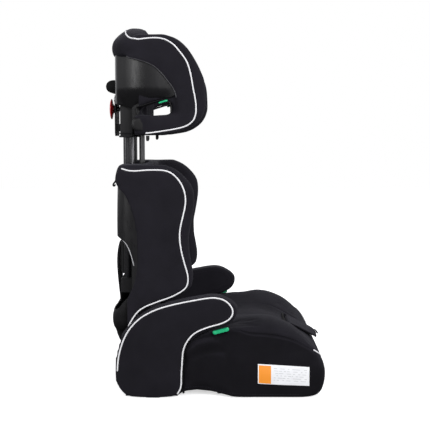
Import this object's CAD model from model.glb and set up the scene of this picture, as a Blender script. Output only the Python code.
import math

import bmesh
import bpy
import numpy as np
from mathutils import Matrix, Vector, noise
from mathutils.bvhtree import BVHTree


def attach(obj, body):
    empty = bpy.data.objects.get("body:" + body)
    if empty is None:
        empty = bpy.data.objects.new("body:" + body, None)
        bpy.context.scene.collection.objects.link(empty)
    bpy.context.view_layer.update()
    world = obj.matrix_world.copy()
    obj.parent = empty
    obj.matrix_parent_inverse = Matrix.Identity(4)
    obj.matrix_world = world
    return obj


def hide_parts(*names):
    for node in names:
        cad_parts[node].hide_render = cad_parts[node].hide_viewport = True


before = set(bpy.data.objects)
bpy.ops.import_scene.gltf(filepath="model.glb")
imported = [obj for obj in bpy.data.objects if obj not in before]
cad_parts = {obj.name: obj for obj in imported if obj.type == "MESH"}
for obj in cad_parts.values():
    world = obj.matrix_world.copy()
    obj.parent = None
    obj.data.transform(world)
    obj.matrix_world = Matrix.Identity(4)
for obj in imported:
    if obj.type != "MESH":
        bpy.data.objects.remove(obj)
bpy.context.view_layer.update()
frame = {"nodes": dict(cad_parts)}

# Everything below is in millimetres until it passes through MM. Z is up, the child faces -Y, and the child's right is -X.
MM = 0.001
scene = bpy.context.scene
SIDES = ((-1, "right"), (1, "left"))


# =========================================================================================================================
# curves and tables
# =========================================================================================================================
def reading(rows):
    """A smooth reading of (x, value) rows that never overshoots them."""
    xs, ys = np.array([r[0] for r in rows], float), np.array([r[1] for r in rows], float)
    h = np.diff(xs)
    d = np.diff(ys) / h
    m = np.zeros_like(ys)
    m[0], m[-1] = d[0], d[-1]
    for i in range(1, len(xs) - 1):
        if d[i - 1] * d[i] > 0:
            w1, w2 = 2 * h[i] + h[i - 1], h[i] + 2 * h[i - 1]
            m[i] = (w1 + w2) / (w1 / d[i - 1] + w2 / d[i])

    def read(x):
        x = min(max(x, xs[0]), xs[-1])
        i = min(int(np.searchsorted(xs, x, side="right")) - 1, len(h) - 1)
        t = (x - xs[i]) / h[i]
        return float(
            (1 + 2 * t) * (1 - t) ** 2 * ys[i]
            + t * (1 - t) ** 2 * h[i] * m[i]
            + t * t * (3 - 2 * t) * ys[i + 1]
            + t * t * (t - 1) * h[i] * m[i + 1]
        )

    return read


def ease(x, a, b):
    """0 before a, 1 after b, smooth between; a may be above b."""
    t = min(max((x - a) / (b - a), 0.0), 1.0)
    return t * t * (3 - 2 * t)


def smooth(points, step=4.0, closed=False, count=None):
    """Evenly spaced points on a centripetal Catmull-Rom curve through the given ones."""
    p = [np.array(q, float) for q in points]
    n = len(p)
    fine = []
    for i in range(n if closed else n - 1):
        b, c = p[i], p[(i + 1) % n]
        a = p[i - 1] if closed or i > 0 else 2 * b - c
        d = p[(i + 2) % n] if closed or i + 2 < n else 2 * c - b
        t = [0.0]
        for u, v in ((a, b), (b, c), (c, d)):
            t.append(t[-1] + max(float(np.linalg.norm(v - u)), 1e-6) ** 0.5)
        for k in range(14):
            s = t[1] + (t[2] - t[1]) * k / 14
            a1 = (t[1] - s) / (t[1] - t[0]) * a + (s - t[0]) / (t[1] - t[0]) * b
            a2 = (t[2] - s) / (t[2] - t[1]) * b + (s - t[1]) / (t[2] - t[1]) * c
            a3 = (t[3] - s) / (t[3] - t[2]) * c + (s - t[2]) / (t[3] - t[2]) * d
            b1 = (t[2] - s) / (t[2] - t[0]) * a1 + (s - t[0]) / (t[2] - t[0]) * a2
            b2 = (t[3] - s) / (t[3] - t[1]) * a2 + (s - t[1]) / (t[3] - t[1]) * a3
            fine.append((t[2] - s) / (t[2] - t[1]) * b1 + (s - t[1]) / (t[2] - t[1]) * b2)
    fine.append(fine[0] if closed else p[-1])
    fine = np.array(fine)
    lengths = np.r_[0, np.cumsum(np.linalg.norm(np.diff(fine, axis=0), axis=1))]
    number = count or max(2, int(round(lengths[-1] / step)) + 1)
    at = np.linspace(0, lengths[-1], number + 1 if closed else number)
    out = np.stack([np.interp(at, lengths, fine[:, k]) for k in range(fine.shape[1])], axis=1)
    return out[:-1] if closed else out


def offset(points, by):
    """A closed flat outline moved outwards by a distance, or by one distance per point."""
    p = np.array(points, float)
    by = np.broadcast_to(np.asarray(by, float), (len(p),))
    area = np.sum(p[:, 0] * np.roll(p[:, 1], -1) - np.roll(p[:, 0], -1) * p[:, 1])
    side = 1.0 if area > 0 else -1.0
    along = np.roll(p, -1, axis=0) - np.roll(p, 1, axis=0)
    along /= np.maximum(np.linalg.norm(along, axis=1), 1e-9)[:, None]
    return p + np.stack([along[:, 1], -along[:, 0]], axis=1) * (side * by)[:, None]


def offset_open(points, by):
    """An open flat line moved sideways."""
    p = np.array(points, float)
    along = np.gradient(p, axis=0)
    along /= np.maximum(np.linalg.norm(along, axis=1), 1e-9)[:, None]
    return p + np.stack([along[:, 1], -along[:, 0]], axis=1) * by


def rounded(path, seg=6):
    """An open path of (x, y, radius) corners as points, with the same number of points whatever the radii."""
    out = [np.array(path[0][:2], float)]
    for i in range(1, len(path) - 1):
        a, b, c = (np.array(path[k][:2], float) for k in (i - 1, i, i + 1))
        u, v = a - b, c - b
        lu, lv = max(np.linalg.norm(u), 1e-6), max(np.linalg.norm(v), 1e-6)
        u, v = u / lu, v / lv
        half = math.acos(max(-1.0, min(1.0, float(u @ v)))) / 2
        reach = min(path[i][2] / max(math.tan(half), 0.05), lu * 0.48, lv * 0.48)
        p, q = b + u * reach, b + v * reach
        for k in range(seg + 1):
            t = k / seg
            out.append((1 - t) ** 2 * p + 2 * t * (1 - t) * (b * 0.82 + (p + q) * 0.09) + t * t * q)
    out.append(np.array(path[-1][:2], float))
    return out


# =========================================================================================================================
# meshes
# =========================================================================================================================
def link(name, mesh, mat=None):
    obj = bpy.data.objects.new(name, mesh)
    scene.collection.objects.link(obj)
    if mat is not None:
        mesh.materials.clear()
        mesh.materials.append(mat)
    return obj


def make(name, verts, faces, mat=None, soft=True):
    mesh = bpy.data.meshes.new(name)
    mesh.from_pydata([tuple(float(c) * MM for c in v) for v in verts], [], faces)
    bm = bmesh.new()
    bm.from_mesh(mesh)
    bmesh.ops.remove_doubles(bm, verts=bm.verts, dist=1e-6)
    bmesh.ops.recalc_face_normals(bm, faces=bm.faces)
    bm.to_mesh(mesh)
    bm.free()
    if soft:
        mesh.shade_smooth()
    return link(name, mesh, mat)


def solid(name, rings, mat=None, soft=True):
    """A closed body through rings of equal point count."""
    n = len(rings[0])
    verts = [p for ring in rings for p in ring]
    faces = [list(range(n))[::-1], [len(verts) - n + i for i in range(n)]]
    for r in range(len(rings) - 1):
        for i in range(n):
            j = (i + 1) % n
            faces.append((r * n + i, r * n + j, (r + 1) * n + j, (r + 1) * n + i))
    return make(name, verts, faces, mat, soft)


def prism(name, outline, lo, hi, axis, mat=None, soft=False):
    """A flat outline with thickness: (Y, Z) points along X, (X, Z) along Y, (X, Y) along Z."""
    put = {
        "X": lambda a, b, h: (h, a, b),
        "Y": lambda a, b, h: (a, h, b),
        "Z": lambda a, b, h: (a, b, h),
    }[axis]
    return solid(name, [[put(a, b, h) for a, b in outline] for h in (lo, hi)], mat, soft)


def sheet(name, rows, thickness, mat, rim=0.6, soft=True):
    """An open surface through rows of points, given its wall by Solidify and its rounded rim by Bevel."""
    n = len(rows[0])
    verts = [p for row in rows for p in row]
    faces = [
        (r * n + i, r * n + i + 1, (r + 1) * n + i + 1, (r + 1) * n + i)
        for r in range(len(rows) - 1)
        for i in range(n - 1)
    ]
    obj = make(name, verts, faces, mat, soft)
    wall = obj.modifiers.new("wall", "SOLIDIFY")
    wall.thickness = thickness * MM
    wall.offset = 0.0
    wall.use_even_offset = True
    if rim:
        edge = obj.modifiers.new("rim", "BEVEL")
        edge.width = rim * MM
        edge.segments = 3
        edge.limit_method = "ANGLE"
        edge.angle_limit = math.radians(50)
    apply(obj)
    obj.data.shade_smooth()
    obj.data.set_sharp_from_angle(angle=math.radians(60))
    return obj


def apply(obj):
    bpy.context.view_layer.update()
    graph = bpy.context.evaluated_depsgraph_get()
    mesh = bpy.data.meshes.new_from_object(obj.evaluated_get(graph), depsgraph=graph)
    old = obj.data
    obj.modifiers.clear()
    obj.data = mesh
    bpy.data.meshes.remove(old)
    return obj


def cut(obj, cutter, operation="DIFFERENCE"):
    mod = obj.modifiers.new("cut", "BOOLEAN")
    mod.operation = operation
    mod.solver = "EXACT"
    mod.object = cutter
    apply(obj)
    bpy.data.objects.remove(cutter)
    return obj


def block(x, y, z):
    return prism("block", [(x[0], y[0]), (x[1], y[0]), (x[1], y[1]), (x[0], y[1])], z[0], z[1], "Z")


def remesh(obj, size):
    mod = obj.modifiers.new("even", "REMESH")
    mod.mode = "VOXEL"
    mod.voxel_size = size * MM
    mod.adaptivity = 0.0
    mod.use_smooth_shade = True
    return apply(obj)


def join(objs, name):
    """Several meshes as one mesh."""
    bm = bmesh.new()
    for o in objs:
        bm.from_mesh(o.data)
    mesh = bpy.data.meshes.new(name)
    bm.to_mesh(mesh)
    bm.free()
    mats = [m for m in objs[0].data.materials]
    for o in objs:
        bpy.data.objects.remove(o)
    out = link(name, mesh)
    for m in mats:
        mesh.materials.append(m)
    return out


def coords(obj):
    co = np.zeros(len(obj.data.vertices) * 3, np.float32)
    obj.data.vertices.foreach_get("co", co)
    return co.reshape(-1, 3).astype(float) / MM


def set_coords(obj, co):
    obj.data.vertices.foreach_set("co", (co * MM).astype(np.float32).ravel())
    obj.data.update()


def normals(obj):
    v = np.zeros(len(obj.data.vertices) * 3, np.float32)
    obj.data.vertex_normals.foreach_get("vector", v)
    return v.reshape(-1, 3).astype(float)


def relax(obj, times, share=0.5, held=None):
    """Evens the surface out, moving each free vertex towards its neighbours' mean."""
    e = np.zeros(len(obj.data.edges) * 2, np.int32)
    obj.data.edges.foreach_get("vertices", e)
    e = e.reshape(-1, 2)
    co = coords(obj)
    n = len(co)
    a, b = np.r_[e[:, 0], e[:, 1]], np.r_[e[:, 1], e[:, 0]]
    degree = np.maximum(np.bincount(a, minlength=n), 1)
    free = np.ones(n) if held is None else 1.0 - np.asarray(held, float)
    for k in range(times * 2):
        mean = np.stack([np.bincount(a, weights=co[b, i], minlength=n) for i in range(3)], axis=1) / degree[:, None]
        step = share if k % 2 == 0 else -share * 0.92
        co = co + (mean - co) * (step * free)[:, None]
    set_coords(obj, co)


def nearness(co, path):
    """Distance of each point to a densely sampled path."""
    best = np.full(len(co), 1e9)
    path = np.asarray(path, float)
    for k in range(0, len(path), 60):
        part = path[k : k + 60]
        best = np.minimum(best, np.sqrt(((co[:, None, :] - part[None]) ** 2).sum(2)).min(1))
    return best


def tree(obj):
    return BVHTree.FromPolygons([v.co for v in obj.data.vertices], [p.vertices for p in obj.data.polygons])


def drape(path, bvh, lift):
    """The path laid on a surface, lifted along its normal."""
    out = []
    for p in path:
        at, normal, _, _ = bvh.find_nearest(Vector([float(c) for c in p]) * MM)
        out.append(np.array((at + normal * lift * MM) / MM))
    out = np.array(out)
    for _ in range(3):
        out[1:-1] = out[1:-1] * 0.5 + (out[:-2] + out[2:]) * 0.25
    return out


def groove(obj, path, depth, width):
    """Presses the surface in along a path, or raises it if depth is negative."""
    co = coords(obj)
    near = np.flatnonzero(((co > np.min(path, axis=0) - 4 * width) & (co < np.max(path, axis=0) + 4 * width)).all(1))
    if len(near) == 0:
        return
    d = nearness(co[near], path)
    co[near] -= normals(obj)[near] * (depth * np.exp(-((d / width) ** 2)))[:, None]
    set_coords(obj, co)


def ripple(obj, amount, size, seed=0.0, where=None):
    """A low unevenness, as cloth over foam has."""
    co, nn = coords(obj), normals(obj)
    for i in range(len(co)):
        w = amount if where is None else amount * where(co[i])
        if w:
            q = Vector(co[i] / size) + Vector((seed, seed * 1.7, -seed))
            co[i] += nn[i] * (w * noise.noise(q))
    set_coords(obj, co)


def inflate(obj, held, pressure=4.0, cap=6.0, frames=20):
    """Puffs the mesh with Blender's cloth, held vertices staying put, and keeps each move under a cap."""
    rest = coords(obj)
    group = obj.vertex_groups.new(name="held")
    group.add([int(i) for i in np.flatnonzero(held)], 1.0, "REPLACE")
    mod = obj.modifiers.new("puff", "CLOTH")
    s = mod.settings
    s.quality = 4
    s.mass = 0.3
    s.tension_stiffness = s.compression_stiffness = 15
    s.shear_stiffness = 5
    s.bending_stiffness = 0.5
    s.use_pressure = True
    s.uniform_pressure_force = pressure
    s.effector_weights.gravity = 0
    s.vertex_group_mass = "held"
    mod.collision_settings.use_collision = False
    mod.collision_settings.use_self_collision = False
    mod.point_cache.frame_start, mod.point_cache.frame_end = 1, frames
    for f in range(1, frames + 1):
        scene.frame_set(f)
    graph = bpy.context.evaluated_depsgraph_get()
    puffed = obj.evaluated_get(graph)
    moved = np.zeros(len(rest) * 3, np.float32)
    puffed.data.vertices.foreach_get("co", moved)
    moved = moved.reshape(-1, 3).astype(float) / MM
    obj.modifiers.clear()
    obj.vertex_groups.clear()
    scene.frame_set(1)
    delta = moved - rest
    length = np.maximum(np.linalg.norm(delta, axis=1), 1e-6)
    set_coords(obj, rest + delta * (np.tanh(length / cap) * cap / length)[:, None])


def subdivide(obj, levels=1):
    mod = obj.modifiers.new("fine", "SUBSURF")
    mod.levels = mod.render_levels = levels
    mod.use_limit_surface = False
    mod.quality = 1
    apply(obj)
    obj.data.shade_smooth()


def tube(name, path, radius, mat, closed=False, seg=10, flat=1.0):
    """A round cord along a path, its ends closed by small domes."""
    p = np.array(path, float)
    n = len(p)
    if closed:
        t = np.roll(p, -1, axis=0) - np.roll(p, 1, axis=0)
    else:
        t = np.gradient(p, axis=0)
    t /= np.maximum(np.linalg.norm(t, axis=1), 1e-9)[:, None]
    up = np.cross(t[0], [0.31, 0.47, 0.83])
    up /= np.linalg.norm(up)
    frames = []
    for i in range(n):
        up = up - t[i] * (up @ t[i])
        up /= max(np.linalg.norm(up), 1e-9)
        frames.append((up.copy(), np.cross(t[i], up)))
    radii = np.full(n, float(radius)) if np.isscalar(radius) else np.asarray(radius, float)
    rings, spots = [], list(range(n))
    if not closed:
        for back, shrink in ((1.0, 0.28), (0.75, 0.7)):
            rings.append((p[0] - t[0] * radii[0] * back, frames[0], radii[0] * shrink))
    for i in spots:
        rings.append((p[i], frames[i], radii[i]))
    if not closed:
        for back, shrink in ((0.75, 0.7), (1.0, 0.28)):
            rings.append((p[-1] + t[-1] * radii[-1] * back, frames[-1], radii[-1] * shrink))
    verts, faces = [], []
    for c, (u, v), r in rings:
        for k in range(seg):
            a = 2 * math.pi * k / seg
            verts.append(c + u * (r * math.cos(a)) + v * (r * flat * math.sin(a)))
    m = len(rings)
    for i in range(m if closed else m - 1):
        for k in range(seg):
            j, l = (k + 1) % seg, (i + 1) % m
            faces.append((i * seg + k, i * seg + j, l * seg + j, l * seg + k))
    if not closed:
        faces.append(tuple(range(seg))[::-1])
        faces.append(tuple((m - 1) * seg + k for k in range(seg)))
    return make(name, verts, faces, mat)


def stitches(name, path, bvh, mat, pitch=4.2, length=2.7, lift=0.35, radius=0.42):
    """A row of sewing stitches lying on a surface."""
    p = smooth(path, step=1.0)
    run = np.r_[0, np.cumsum(np.linalg.norm(np.diff(p, axis=0), axis=1))]
    verts, faces = [], []
    at = pitch / 2
    while at + length < run[-1]:
        ends = []
        for s in (at, at + length * 0.3, at + length * 0.7, at + length):
            q = np.array([np.interp(s, run, p[:, k]) for k in range(3)])
            spot, normal, _, _ = bvh.find_nearest(Vector(q) * MM)
            high = lift if s in (at + length * 0.3, at + length * 0.7) else -0.15
            ends.append((np.array(spot) / MM + np.array(normal) * high, np.array(normal)))
        base = len(verts)
        for i, (c, normal) in enumerate(ends):
            t = ends[min(i + 1, 3)][0] - ends[max(i - 1, 0)][0]
            t /= max(np.linalg.norm(t), 1e-9)
            side = np.cross(t, normal)
            for k in range(5):
                a = 2 * math.pi * k / 5
                verts.append(c + side * (radius * math.cos(a)) + normal * (radius * math.sin(a)))
        for i in range(3):
            for k in range(5):
                j = (k + 1) % 5
                faces.append((base + i * 5 + k, base + i * 5 + j, base + i * 5 + 5 + j, base + i * 5 + 5 + k))
        faces.append(tuple(base + k for k in range(5))[::-1])
        faces.append(tuple(base + 15 + k for k in range(5)))
        at += pitch
    return make(name, verts, faces, mat)


def turned(name, profile, origin, axis, mat, seg=64):
    """A round piece: profile is (radius, height along the axis from the origin), in order from one pole to the other."""
    n = Vector(axis).normalized()
    u = n.orthogonal().normalized()
    v = n.cross(u)
    verts, faces = [], []
    for r, h in profile:
        for k in range(seg):
            a = 2 * math.pi * k / seg
            verts.append(Vector(origin) + n * h + (u * math.cos(a) + v * math.sin(a)) * max(r, 0.0005))
    m = len(profile)
    for i in range(m - 1):
        for k in range(seg):
            j = (k + 1) % seg
            faces.append((i * seg + k, i * seg + j, (i + 1) * seg + j, (i + 1) * seg + k))
    faces.append(tuple(range(seg))[::-1])
    faces.append(tuple((m - 1) * seg + k for k in range(seg)))
    obj = make(name, verts, faces, mat)
    obj.data.set_sharp_from_angle(angle=math.radians(38))
    return obj


# =========================================================================================================================
# materials
# =========================================================================================================================
def add(t, kind, props=None, **inputs):
    n = t.nodes.new(kind)
    for k, v in (props or {}).items():
        setattr(n, k, v)
    for k, v in inputs.items():
        s = n.inputs[int(k[1:])] if k[0] == "i" and k[1:].isdigit() else n.inputs[k.replace("_", " ")]
        if isinstance(v, bpy.types.NodeSocket):
            t.links.new(v, s)
        else:
            s.default_value = v
    return n


def maths(t, op, a, b=0.0, c=0.0):
    return add(t, "ShaderNodeMath", {"operation": op}, i0=a, i1=b, i2=c).outputs[0]


def noisy(t, where, scale, detail=3.0, rough=0.55):
    return add(t, "ShaderNodeTexNoise", None, Vector=where, Scale=scale, Detail=detail, Roughness=rough).outputs[0]


def ramp(t, value, rows):
    r = add(t, "ShaderNodeValToRGB", None, Fac=value)
    while len(r.color_ramp.elements) < len(rows):
        r.color_ramp.elements.new(0.5)
    for e, (at, colour) in zip(r.color_ramp.elements, rows):
        e.position = at
        e.color = (*colour, 1) if len(colour) == 3 else colour
    return r.outputs[0]


def scaled(t, value, lo, hi, low, high):
    return add(t, "ShaderNodeMapRange", None, i0=value, i1=lo, i2=hi, i3=low, i4=high).outputs[0]


def start(name):
    m = bpy.data.materials.new(name)
    m.use_nodes = True
    t = m.node_tree
    return m, t, t.nodes["Principled BSDF"], add(t, "ShaderNodeTexCoord").outputs["Object"]


def surface_uv(t, where):
    """Two lengths along the surface, whichever way it faces, so that a weave needs no unwrapping."""
    p = add(t, "ShaderNodeSeparateXYZ", None, i0=where).outputs
    g = add(t, "ShaderNodeSeparateXYZ", None, i0=add(t, "ShaderNodeNewGeometry").outputs["Normal"]).outputs
    ax, ay, az = (maths(t, "ABSOLUTE", g[k]) for k in range(3))
    side = maths(t, "GREATER_THAN", ax, ay)
    top = maths(t, "GREATER_THAN", az, 0.74)
    sideways = maths(t, "MULTIPLY", side, maths(t, "SUBTRACT", 1.0, top))
    u = maths(t, "ADD", p[0], maths(t, "MULTIPLY", sideways, maths(t, "SUBTRACT", p[1], p[0])))
    v = maths(t, "ADD", p[2], maths(t, "MULTIPLY", top, maths(t, "SUBTRACT", p[1], p[2])))
    return u, v


def fabric(name, colour, pitch=1.5, rough=0.9, sheen=0.035, depth=0.22, vary=0.35, sides=1.0):
    """Knitted cloth: staggered loops, fuzz, a little colour drift and a soft sheen."""
    m, t, b, where = start(name)
    u, v = surface_uv(t, where)
    k = 2 * math.pi / (pitch * MM)
    row = maths(t, "MULTIPLY", v, k)
    loops = maths(t, "SINE", maths(t, "ADD", maths(t, "MULTIPLY", u, k), maths(t, "MULTIPLY", maths(t, "SINE", row), 0.9)))
    weave = maths(t, "MULTIPLY", loops, maths(t, "COSINE", maths(t, "MULTIPLY", row, 0.5)))
    fuzz = noisy(t, where, 2600.0, 2.0)
    drift = noisy(t, where, 16.0, 4.0)
    wear = noisy(t, where, 70.0, 3.0)
    height = maths(t, "ADD", maths(t, "MULTIPLY", weave, 0.5), maths(t, "MULTIPLY", fuzz, 0.6))
    bump = add(t, "ShaderNodeBump", None, Strength=0.55, Distance=depth * MM, Height=height).outputs[0]
    shade = maths(t, "ADD", maths(t, "MULTIPLY", drift, 0.6), maths(t, "ADD", maths(t, "MULTIPLY", wear, 0.25), maths(t, "MULTIPLY", weave, 0.10)))
    low = tuple(c * (1 - vary) for c in colour)
    high = tuple(c * (1 + vary) for c in colour)
    tint = ramp(t, shade, [(0.2, low), (0.72, high)])
    if sides != 1.0:
        facing = add(t, "ShaderNodeSeparateXYZ", None, i0=add(t, "ShaderNodeNewGeometry").outputs["Normal"]).outputs[2]
        deep = add(t, "ShaderNodeMix", {"data_type": "RGBA"}, i0=scaled(t, facing, 0.16, 0.42, sides, 1.0), i6=(0, 0, 0, 1), i7=tint)
        tint = deep.outputs[2]
    t.links.new(tint, b.inputs["Base Color"])
    t.links.new(scaled(t, wear, 0.3, 0.7, rough - 0.06, min(1.0, rough + 0.08)), b.inputs["Roughness"])
    t.links.new(bump, b.inputs["Normal"])
    b.inputs["Specular IOR Level"].default_value = 0.12
    b.inputs["Sheen Weight"].default_value = sheen
    b.inputs["Sheen Roughness"].default_value = 0.45
    b.inputs["Sheen Tint"].default_value = (0.75, 0.74, 0.9, 1)
    return m


def plastic(name, colour, rough=0.4, grain=0.10, spec=0.4, edge=1.5, coat=0.0):
    """Moulded plastic: fine spark-eroded grain, handling marks in its gloss, and edges rubbed paler."""
    m, t, b, where = start(name)
    fine = noisy(t, where, 1500.0, 2.0)
    cloud = noisy(t, where, 22.0, 4.0)
    scuffs = noisy(t, add(t, "ShaderNodeMapping", None, i0=where, Scale=(1.0, 1.0, 0.22)).outputs[0], 240.0, 5.0, 0.7)
    bump = add(t, "ShaderNodeBump", None, Strength=0.35, Distance=grain * MM, Height=fine).outputs[0]
    tip = ramp(t, add(t, "ShaderNodeNewGeometry").outputs["Pointiness"], [(0.52, (0, 0, 0)), (0.62, (1, 1, 1))])
    base = ramp(t, cloud, [(0.3, tuple(c * 0.82 for c in colour)), (0.7, tuple(c * 1.15 for c in colour))])
    worn = tuple(min(1.0, c * edge + 0.004) for c in colour)
    mix = add(t, "ShaderNodeMix", {"data_type": "RGBA"}, i0=maths(t, "MULTIPLY", tip, 0.6), i6=base, i7=(*worn, 1))
    t.links.new(mix.outputs[2], b.inputs["Base Color"])
    gloss = maths(t, "ADD", scaled(t, scuffs, 0.35, 0.7, -0.05, 0.08), scaled(t, cloud, 0.3, 0.7, rough - 0.03, rough + 0.04))
    t.links.new(gloss, b.inputs["Roughness"])
    t.links.new(bump, b.inputs["Normal"])
    b.inputs["Specular IOR Level"].default_value = spec
    b.inputs["Coat Weight"].default_value = coat
    b.inputs["Coat Roughness"].default_value = 0.12
    return m


def metal(name, colour, rough=0.28):
    """Zinc-plated steel: drawn marks along Z, mottled plating and dulled patches."""
    m, t, b, where = start(name)
    drawn = noisy(t, add(t, "ShaderNodeMapping", None, i0=where, Scale=(1.0, 1.0, 0.03)).outputs[0], 1400.0, 3.0)
    mottle = noisy(t, where, 90.0, 4.0)
    t.links.new(ramp(t, mottle, [(0.3, tuple(c * 0.78 for c in colour)), (0.7, colour)]), b.inputs["Base Color"])
    t.links.new(maths(t, "ADD", scaled(t, drawn, 0.3, 0.7, -0.05, 0.08), scaled(t, mottle, 0.3, 0.7, rough, rough + 0.12)), b.inputs["Roughness"])
    t.links.new(add(t, "ShaderNodeBump", None, Strength=0.2, Distance=0.05 * MM, Height=drawn).outputs[0], b.inputs["Normal"])
    b.inputs["Metallic"].default_value = 1.0
    return m


def cord_material(name, colour, rough=0.6, sheen=0.1):
    """Piping: a fine diagonal twist over a pale cord."""
    m, t, b, where = start(name)
    p = add(t, "ShaderNodeSeparateXYZ", None, i0=where).outputs
    sums = maths(t, "ADD", p[0], maths(t, "ADD", p[1], p[2]))
    twist = maths(t, "SINE", maths(t, "MULTIPLY", sums, 2 * math.pi / (1.3 * MM)))
    soil = noisy(t, where, 120.0, 4.0)
    t.links.new(ramp(t, soil, [(0.25, tuple(c * 0.86 for c in colour)), (0.6, colour)]), b.inputs["Base Color"])
    t.links.new(scaled(t, soil, 0.3, 0.7, rough - 0.05, rough + 0.1), b.inputs["Roughness"])
    t.links.new(add(t, "ShaderNodeBump", None, Strength=0.3, Distance=0.12 * MM, Height=twist).outputs[0], b.inputs["Normal"])
    b.inputs["Sheen Weight"].default_value = sheen
    return m


def foam_material(name, colour):
    m, t, b, where = start(name)
    cells = add(t, "ShaderNodeTexVoronoi", None, Vector=where, Scale=900.0).outputs[0]
    tone = noisy(t, where, 30.0)
    t.links.new(ramp(t, tone, [(0.3, tuple(c * 0.85 for c in colour)), (0.7, colour)]), b.inputs["Base Color"])
    t.links.new(scaled(t, tone, 0.3, 0.7, 0.88, 0.98), b.inputs["Roughness"])
    t.links.new(add(t, "ShaderNodeBump", None, Strength=0.5, Distance=0.3 * MM, Height=cells).outputs[0], b.inputs["Normal"])
    return m


CLOTH_RGB = (0.0128, 0.0119, 0.0162)
CLOTH = fabric("black_knit", CLOTH_RGB)
CLOTH_ARM = fabric("black_knit_arm", tuple(c * 0.84 for c in CLOTH_RGB))
CLOTH_SEAT = fabric("black_knit_seat", tuple(c * 0.86 for c in CLOTH_RGB), pitch=1.7, sides=0.56)
CLOTH_TOP = fabric("black_knit_top", tuple(c * 1.05 for c in CLOTH_RGB), pitch=1.7)
BINDING = fabric("black_binding", tuple(c * 0.7 for c in CLOTH_RGB), pitch=0.9, sheen=0.02)
THREAD = fabric("black_thread", tuple(c * 1.5 for c in CLOTH_RGB), pitch=0.5, sheen=0.05)
PIPING = cord_material("white_piping", (0.86, 0.86, 0.88))
ARCH_CORD = cord_material("grey_piping", (0.42, 0.42, 0.44))
SHELL = plastic("satin_shell", (0.0062, 0.0060, 0.0070), rough=0.31, grain=0.06, spec=0.36)
LIP = plastic("moulded_lip", (0.020, 0.019, 0.023), rough=0.42, grain=0.05, spec=0.36)
MOULDED = plastic("moulded_plastic", (0.0065, 0.0064, 0.0072), rough=0.46, grain=0.12, spec=0.28)
LOWER_PLASTIC = plastic("grained_plastic", (0.0054, 0.0052, 0.0060), rough=0.6, grain=0.2, spec=0.15)
GLOSSY = plastic("gloss_tube", (0.008, 0.008, 0.010), rough=0.2, grain=0.02, spec=0.5, coat=0.3)
RUBBER = plastic("rubber", (0.0055, 0.0055, 0.0058), rough=0.75, grain=0.15, spec=0.15)
STEEL = metal("zinc_steel", (0.60, 0.60, 0.62))
RED = plastic("red_plastic", (0.52, 0.014, 0.018), rough=0.3, grain=0.04, spec=0.5, edge=1.25)
GREEN = plastic("green_plastic", (0.010, 0.40, 0.17), rough=0.42, grain=0.08, spec=0.4, edge=1.3)
FOAM = foam_material("grey_foam", (0.22, 0.22, 0.24))


def clad(obj, mat):
    obj.data.materials.clear()
    obj.data.materials.append(mat)


def ride(obj, body, slot, *nodes):
    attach(obj, body)
    if nodes:
        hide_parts(*nodes)
    return obj


# =========================================================================================================================
# ARMREST PADS
# =========================================================================================================================
PANEL = [
    (206, 56), (203, 85), (189, 127), (164, 158), (134, 176.5), (104, 187), (55, 197.5), (13, 203.5),
    (-6, 200), (-20, 189), (-26, 174), (-20, 161), (-5, 152), (25, 143), (49, 132), (63, 118),
    (71, 100), (74, 78), (75.5, 53), (77, 22), (84, 8), (104, 2), (166, 2), (190, 8), (203, 28),
]
PANEL_FINE = smooth(PANEL, closed=True, count=230)
PANEL_PIPED = smooth([(y - (1.6 if y > 180 else 0.0), z) for y, z in PANEL[:21]], step=3.0)


def horn_share(y, z):
    """1 round the free horn, 0 on the part under the backrest and down the foot."""
    return ease(y, 92, 52) * ease(z, 100, 122)


PANEL_NORMAL = offset(PANEL_FINE, 1.0) - PANEL_FINE
PAD_GROWTH = np.array([
    1.0 + 8.2 * horn_share(y, z) * (1 - 0.93 * ease(nz, 0.25, 0.95)) + 4.2 * ease(y, 150, 190) * ease(z, 150, 120) * ease(z, 12, 40)
    for (y, z), (ny, nz) in zip(PANEL_FINE, PANEL_NORMAL)
])


def armrest_outline(by):
    return offset(PANEL_FINE, by)


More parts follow.
